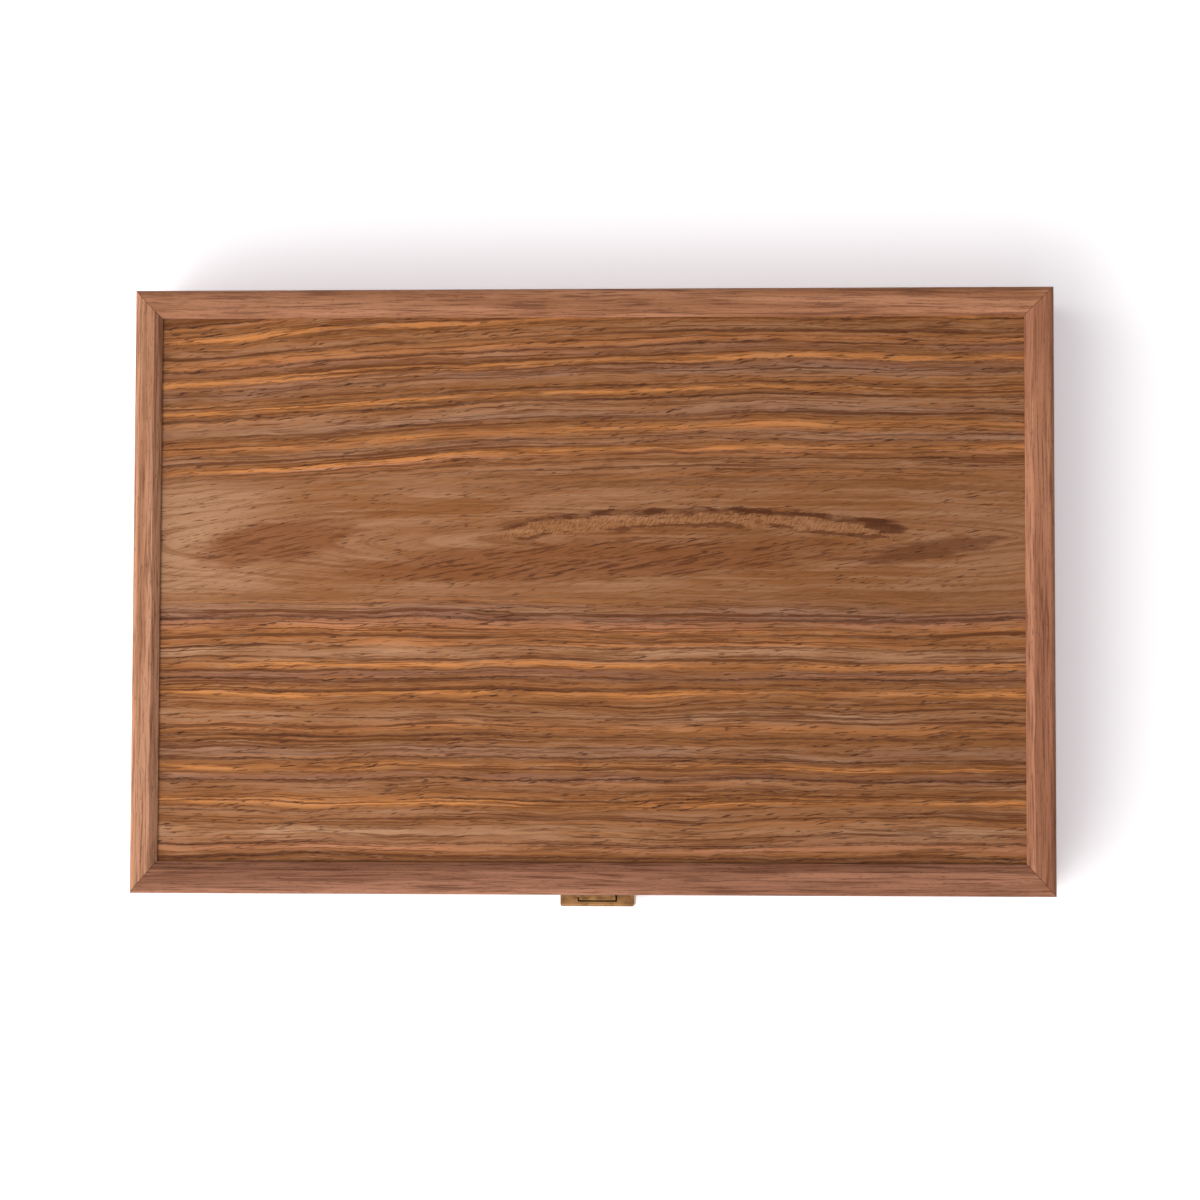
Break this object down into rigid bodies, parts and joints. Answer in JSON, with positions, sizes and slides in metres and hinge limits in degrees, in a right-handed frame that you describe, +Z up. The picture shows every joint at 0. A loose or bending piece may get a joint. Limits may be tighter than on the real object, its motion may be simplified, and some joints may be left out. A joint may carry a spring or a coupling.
{
  "type": "backgammon board",
  "caption": "Folding wooden backgammon case with mitred frame, veneered panels, inlaid points, a checker rack, butt hinges and a push-button brass catch",
  "frame": {"origin": "centre of the closed case's outline, hardware included, on the surface it lies on", "axes": "+X along the long side, +Y towards the hinges, -Y towards the catch, +Z up; case closed"},
  "size_m": [0.38, 0.2584, 0.052],
  "materials": {
    "frame_wood": "oiled walnut, satin",
    "outer_veneer": "figured veneer, satin lacquer",
    "core_wood": "plywood",
    "field_veneer": "plain veneer, satin lacquer",
    "light_inlay": "maple inlay, satin lacquer",
    "dark_inlay": "dark stained inlay, satin lacquer",
    "divider_wood": "oiled walnut, satin",
    "light_checker": "turned maple, waxed",
    "dark_checker": "turned dark wood, waxed",
    "dice": "ivory plastic with dark pips",
    "cube": "ivory plastic with dark numbers",
    "hinge_brass": "satin brass",
    "catch_brass": "aged brushed brass",
    "brass_fixings": "satin brass",
    "spring_steel": "spring steel"
  },
  "bodies": {
    "base": {"base_front_rail": "frame_wood", "base_back_rail": "frame_wood", "base_left_rail": "frame_wood", "base_right_rail": "frame_wood", "base_core_panel": "core_wood", "base_outer_veneer": "outer_veneer", "base_field_veneer": "field_veneer", "base_points_light": "light_inlay", "base_points_dark": "dark_inlay", "base_rack_divider": "divider_wood", "hinge_left_base_leaf": "hinge_brass", "hinge_left_pin": "brass_fixings", "hinge_right_base_leaf": "hinge_brass", "hinge_right_pin": "brass_fixings", "hinge_screws_base": "brass_fixings", "catch_housing": "catch_brass", "catch_housing_screws": "brass_fixings", "catch_lever_pin": "brass_fixings", "catch_spring": "spring_steel", "checkers_light": "light_checker", "checkers_dark": "dark_checker", "dice": "dice", "doubling_cube": "cube"},
    "lid": {"lid_front_rail": "frame_wood", "lid_back_rail": "frame_wood", "lid_left_rail": "frame_wood", "lid_right_rail": "frame_wood", "lid_core_panel": "core_wood", "lid_outer_veneer": "outer_veneer", "lid_field_veneer": "field_veneer", "lid_points_light": "light_inlay", "lid_points_dark": "dark_inlay", "lid_rack_divider": "divider_wood", "hinge_left_lid_leaf": "hinge_brass", "hinge_right_lid_leaf": "hinge_brass", "hinge_screws_lid": "brass_fixings", "catch_strike": "catch_brass", "catch_strike_screws": "brass_fixings"},
    "catch_lever": {"catch_lever": "catch_brass"}
  },
  "joints": [
    {"name": "lid_hinge", "type": "hinge", "parent": "base", "child": "lid", "pos_m": [0, 0.12698, 0.026], "axis": [-1, 0, 0], "range_deg": [0, 180]},
    {"name": "catch_button", "type": "hinge", "parent": "base", "child": "catch_lever", "pos_m": [0.0018, -0.12598, 0.016], "axis": [1, 0, 0], "range_deg": [0, 13], "stiffness_Nm_per_rad": 0.004, "springref_deg": -34.38, "deforming": ["catch_spring"]}
  ]
}
